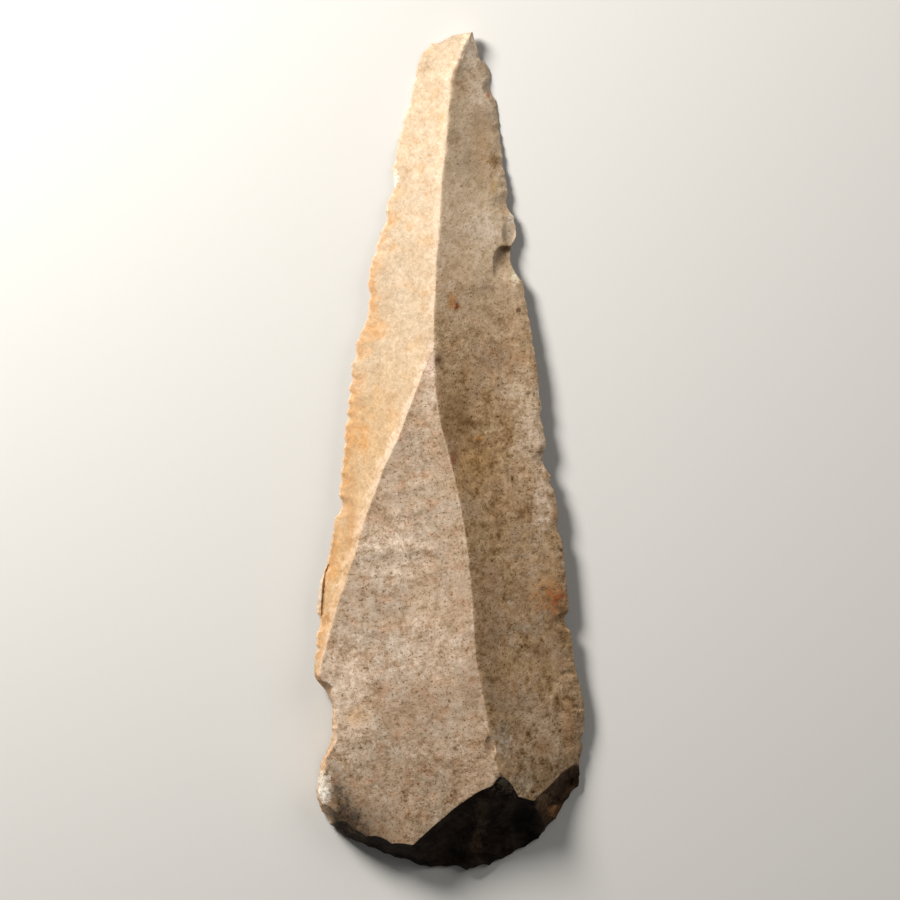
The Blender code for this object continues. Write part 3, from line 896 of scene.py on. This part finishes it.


# The stone's colours: facets, stains and painted shades, wear and painted highlights, a darker patch by
# the working end, then the working end's painted shade, all times one tone.
def stoneMaterial():
    made = bpy.data.materials.new("flakedStone")
    made.use_nodes = True
    tree = made.node_tree
    shader = tree.nodes["Principled BSDF"]
    look = stoneLook
    start = Wire(tree)
    # the pattern is worked out in millimetres of the flake
    place = start.node("TexCoord", {}, {}, "Object").toned(1 / scale)
    across, along = (start.node("SeparateXYZ", {}, {0: place}, axis) for axis in (0, 1))

    # one of the marks that markStone leaves
    def mark(name):
        return start.node("Attribute", {"attribute_name": name}, {}, "Fac")

    # fractal noise about 0, each seed from another part of it
    def noise(seed, size, detail, roughness, drawn=1.0, turn=0.0):
        shift = {"Vector": place, "Location": (seed * 7.3, seed * 3.1, seed), "Rotation": (0, 0, turn)}
        spot = start.node("Mapping", {"vector_type": "TEXTURE"}, {**shift, "Scale": (drawn, 1, 1)})
        sockets = {"Vector": spot, "Scale": 1 / size, "Detail": detail, "Roughness": roughness}
        return start.node("TexNoise", {}, sockets) - 0.5

    # a colour with oval stains and painted shades laid over it, each with a ragged border
    def withStainsAndPaintedLight(colour, stainsAndPaintedLight):
        for x0, y0, halfX, halfY, strength, ragged, stain in stainsAndPaintedLight:
            off = {0: place, 1: (1 / halfX, 1 / halfY, 0), 2: (-x0 / halfX, -y0 / halfY, 0)}
            off = start.node("VectorMath", {"operation": "MULTIPLY_ADD"}, off)
            far = start.node("VectorMath", {"operation": "LENGTH"}, {0: off}, "Value")
            near = (1.0 - far + (mottle + grain) * ragged).band(0.0, 0.8)
            colour = mixColour(near * strength, colour, stain)
        return colour

    names = ("ridge", "arm", "scarred", "lastScar", "leftRim", "upper")
    ridge, arm, scarred, lastScar, leftRim, upper = (mark(name) for name in names)
    names = ("clouds", "patches", "mottle", "tint", "grain", "streaks", "blotch", "flecks")
    clouds, patches, mottle, tint, grain, streaks, blotch, flecks = (noise(*look[name]) for name in names)

    onLeft = (0.0 - arm).band(-0.06, 0.06)
    onRight = ridge.band(-0.06, 0.06)
    onScar = scarred.band(-0.05, 0.05)
    calm = onLeft * (1.0 - onRight)  # the left facet is smoother
    clean = along.band(10.0, 26.0)  # and so is the butt half of the right one

    # the three facets
    left = mixColour((along * -0.03 + clouds * 1.5).band(-0.9, 0.5), look["cream"], look["peach"])
    left = mixColour((tint + patches).band(0.0, 0.3) * 0.3, left, look["orange"])
    rimmed = (3.2 - leftRim + patches * 9 + tint * 4).band(0.0, 4.0)
    left = mixColour(rimmed * (0.7 - along.band(20.0, 40.0) * 0.55), left, look["orange"])
    middle = mixColour((patches + clouds).band(-0.15, 0.2), look["beige"], look["grey"])
    middle = mixColour(tint.band(0.0, 0.2) * 0.7, middle, look["rose"])
    right = mixColour((clouds + patches * 0.5).band(-0.1, 0.2) * 0.6, look["olive"], look["grey"])
    right = mixColour(clean * 0.8, right, look["pale"])
    right = mixColour((clouds + tint).band(-0.02, 0.25) * (0.6 - clean * 0.3), right, look["ochre"])
    right = mixColour((patches + mottle).band(0.0, 0.3) * (0.85 - clean * 0.5), right, look["umber"])
    colour = mixColour(onRight, mixColour(onLeft, middle, left), right)
    colour = mixColour(upper, colour, withStainsAndPaintedLight(colour, look["stainsAndPaintedLight"]))

    # wear and painted highlight: a broad pale band on the lit side of the arm and the upper ridge, a thin
    # one on the lower ridge
    above = along.band(9.0, 15.0)
    besideRidge = (1.0 - (0.0 - ridge) + mottle * 3).band(0.0, 0.7) * (1.0 - onRight)
    besideArm = (1.2 + arm + mottle * 4).band(0.0, 1.0) * onLeft * (1.0 - above)
    lowRidge = (0.35 + ridge + mottle * 1.5).band(0.0, 0.3) * (1.0 - onRight)
    besideArm = besideArm * (look["armWearAndHighlight"] - (0.0 - along).band(2.0, 9.0) * 0.25)
    wearAndHighlightShare = (besideRidge * above * look["ridgeWearAndHighlight"]).larger(besideArm)
    wearAndHighlightShare = wearAndHighlightShare.larger(lowRidge * look["lowRidgeWearAndHighlight"])
    colour = mixColour(wearAndHighlightShare, colour, look["wearAndHighlight"])
    # painted highlight: the left edge, which faces the key light, is a pale line
    edgeHighlight = (0.28 - leftRim + grain * 0.3).band(0.0, 0.16) * onLeft * along.band(-27.0, -24.0)
    colour = mixColour(edgeHighlight * look["edgeHighlight"], colour, look["wearAndHighlight"])
    # the stone is darker near the left end of the working edge
    leftEndDark = (across * -0.8 + along * -0.6 + mottle * 6 + grain * 5 + patches * 1.5).band(34.8, 38.2)
    leftEndDark = leftEndDark * (across + 15.0 + mottle * 3).band(-0.4, 0.9) * upper
    colour = mixColour(leftEndDark * look["leftEndDarkening"], colour, look["leftEndDark"])
    # painted shade on the working end's scars, which face away from the key light: near black in the
    # middle of the working end, browner in its last scar, and mottled and paler on its left flank
    inside = mixColour((mottle + patches).band(-0.15, 0.2), look["dark"], look["darkPale"])
    inside = mixColour(lastScar.band(-0.1, 0.15) * (0.4 + mottle * 1.5), inside, look["darkBrown"])
    inside = withStainsAndPaintedLight(inside, look["endStainsAndShade"])
    flank = mixColour((mottle + patches * 0.7).band(-0.1, 0.3), look["flank"], look["flankPale"])
    flank = mixColour((0.0 - across + mottle * 2).band(13.8, 15.2), flank, colour.toned(1.5))
    inside = mixColour((0.0 - across).band(8.5, 11.0), inside, flank)
    colour = mixColour(onScar, colour, inside)

    # grains: a mottle of every size, short streaks, dark specks and pale flecks, all in one tone
    largeShare, smallShare = look["specks"]
    largeSpecks = noise(*look["largeSpecks"]).band(0.13, 0.21) * largeShare
    smallSpecks = noise(*look["smallSpecks"]).band(0.1, 0.22) * smallShare
    specks = largeSpecks.larger(smallSpecks) * (1.0 - calm * 0.7)
    specks = specks * (1.0 - onScar) * (1.0 - clean * 0.3)
    tone = mottle * (1.3 + onRight * 0.7) + blotch * (0.7 + onRight * 0.4)
    tone = tone + patches * (0.4 + onRight * 0.6)
    tone = tone + grain * (1.1 + calm * 0.5 + onRight * 0.1 - clean * onRight * 0.45)
    tone = tone - streaks.larger(0.0) * 1.1 * (1.0 - calm) + flecks.band(0.13, 0.22) * 0.15
    tone = tone * (1.0 + (0.0 - along).band(33.0, 42.0) * 0.3)
    # painted shade: darker towards the working end, where the key light falls off
    paintedFalloff = (1.0 - along.band(-52.0, -24.0)) * (1.0 - onRight) * look["paintedFalloff"]
    tone = (1.0 + tone * (1.0 - calm * 0.45 - clean * onRight * 0.45)) * (1.0 - paintedFalloff) * (1.0 - specks)
    tone = tone.larger(0.1)
    shares = [tone.math("POWER", tone, share) for share in look["toneShare"]]
    shares = start.node("CombineXYZ", {}, dict(enumerate(shares)))
    colour = start.node("VectorMath", {"operation": "MULTIPLY"}, {0: colour, 1: shares})
    tree.links.new(colour.socket, shader.inputs["Base Color"])
    rough = look["roughness"] + grain * 0.2 - onScar * 0.2
    tree.links.new(rough.socket, shader.inputs["Roughness"])
    shader.inputs["Specular IOR Level"].default_value = look["specular"]
    pitted = grain * 0.6 + mottle * 0.8 - specks * 0.4
    sockets = {"Height": pitted, "Distance": look["bumpDistance"], "Strength": look["bumpStrength"]}
    bump = start.node("Bump", {}, sockets)
    tree.links.new(bump.socket, shader.inputs["Normal"])
    return made


# Distance from the crease where surface b takes over from a: the height between them over its slope along
# the row. It is below 0 on a's side.
def creaseDistance(a, b):
    apart = a - b
    slope = np.abs(np.gradient(apart, axis=1) / np.gradient(x, axis=1))
    return apart / np.clip(slope, 0.25, None)


markLimit = 6  # the marks stop at this distance


# Marks on each point, which the material reads: how far it lies past the ridge, past the arm, below the
# long facets, into the last scar and in from the left edge, in millimetres, and 1 on the upper side.
def markStone():
    (leftFacet, middleFacet, rightFacet, chip), groups = surfaces(x, y)
    leftSide = np.minimum(leftFacet, np.min(groups["left"], axis=0))
    rightSide = np.minimum(rightFacet, np.min(groups["right"], axis=0))
    middle = np.minimum(middleFacet, chip)
    facets = np.minimum(np.minimum(leftSide, rightFacet), middle)
    large = groups["scar"][: len(scars["large"])]
    marks = {
        "ridge": creaseDistance(np.minimum(leftSide, middle), rightSide),
        "arm": creaseDistance(leftSide, middle),
        "scarred": facets - np.min(groups["scar"], axis=0),
        "lastScar": creaseDistance(np.min(large[:-1], axis=0), large[-1]),
        "leftRim": x - through(flake["leftEdge"], y) - edgeDepth("left", y),
        "upper": np.ones(x.shape),
    }
    away = dict.fromkeys(("ridge", "scarred", "lastScar"), -markLimit)
    away |= {"arm": markLimit, "leftRim": markLimit, "upper": 0}
    inner = np.zeros(x.shape, bool)
    inner[1:-1, 1:-1] = True
    for name, values in marks.items():
        values = np.clip(values, -markLimit, markLimit)
        # the underside counts as middle facet, but for its rim, which takes the marks above it
        below = np.where(inner, away[name], values)[keep]
        held = mesh.attributes.new(name, "FLOAT", "POINT")
        held.data.foreach_set("value", np.concatenate([values.reshape(-1), below]))


markStone()
mesh.materials.append(stoneMaterial())
print("flake: marks and material")

studio = {
    "floorReach": 2,  # metres each way
    "floorColour": (0.7, 0.69, 0.67, 1),
    "floorRoughness": 0.9,
    # the camera looks straight down through a long lens, and sees this width at this height
    "lens": 400,
    "viewWidth": 0.1132,
    "viewHeight": 0.001,
    "clip": (0.01, 20),
    # soft lights, as (direction, distance, size, watts, colour)
    "key": ((-0.56, 0.62, 0.55), 0.32, 0.12, 1.65, (1, 0.965, 0.91)),
    "fill": ((0.62, 0.42, 0.66), 0.8, 0.5, 1.3, (1, 0.98, 0.95)),
    "worldColour": (0.95, 0.95, 0.93, 1),
    "worldStrength": 0.1,
}

reach = studio["floorReach"]
floorMesh = bpy.data.meshes.new("floor")
floorCorners = [(-reach, -reach), (reach, -reach), (reach, reach), (-reach, reach)]
floorMesh.from_pydata([(*corner, cadLow.z) for corner in floorCorners], [], [(0, 1, 2, 3)])
floor = placed("floor", floorMesh)
floorMaterial = bpy.data.materials.new("paleFloor")
floorMaterial.use_nodes = True
floorShader = floorMaterial.node_tree.nodes["Principled BSDF"]
floorShader.inputs["Base Color"].default_value = studio["floorColour"]
floorShader.inputs["Roughness"].default_value = studio["floorRoughness"]
floorMesh.materials.append(floorMaterial)

centre = (cadLow + cadHigh) / 2
cameraData = bpy.data.cameras.new("camera")
cameraData.lens = studio["lens"]
cameraData.clip_start, cameraData.clip_end = studio["clip"]
camera = placed("camera", cameraData)
distance = studio["viewWidth"] * studio["lens"] / cameraData.sensor_width
camera.location = (centre.x, centre.y, cadLow.z + studio["viewHeight"] + distance)
bpy.context.scene.camera = camera


# A round lamp this far from the flake's middle in this direction, facing it.
def softLight(name, direction, distance, size, watts, colour):
    data = bpy.data.lights.new(name, "AREA")
    data.shape = "DISK"
    data.size = size
    data.energy = watts
    data.color = colour
    lamp = placed(name, data)
    way = Vector(direction).normalized()
    lamp.location = centre + way * distance
    lamp.rotation_euler = way.to_track_quat("Z", "Y").to_euler()


for name in ("key", "fill"):
    softLight(name, *studio[name])
world = bpy.data.worlds.new("studio")
bpy.context.scene.world = world
world.use_nodes = True
background = world.node_tree.nodes["Background"]
background.inputs["Color"].default_value = studio["worldColour"]
background.inputs["Strength"].default_value = studio["worldStrength"]
bpy.context.scene.view_settings.view_transform = "Standard"
print("studio: floor, camera and lights")

print("cad box", [round(v * 1000, 2) for v in (*cadLow, *cadHigh)])
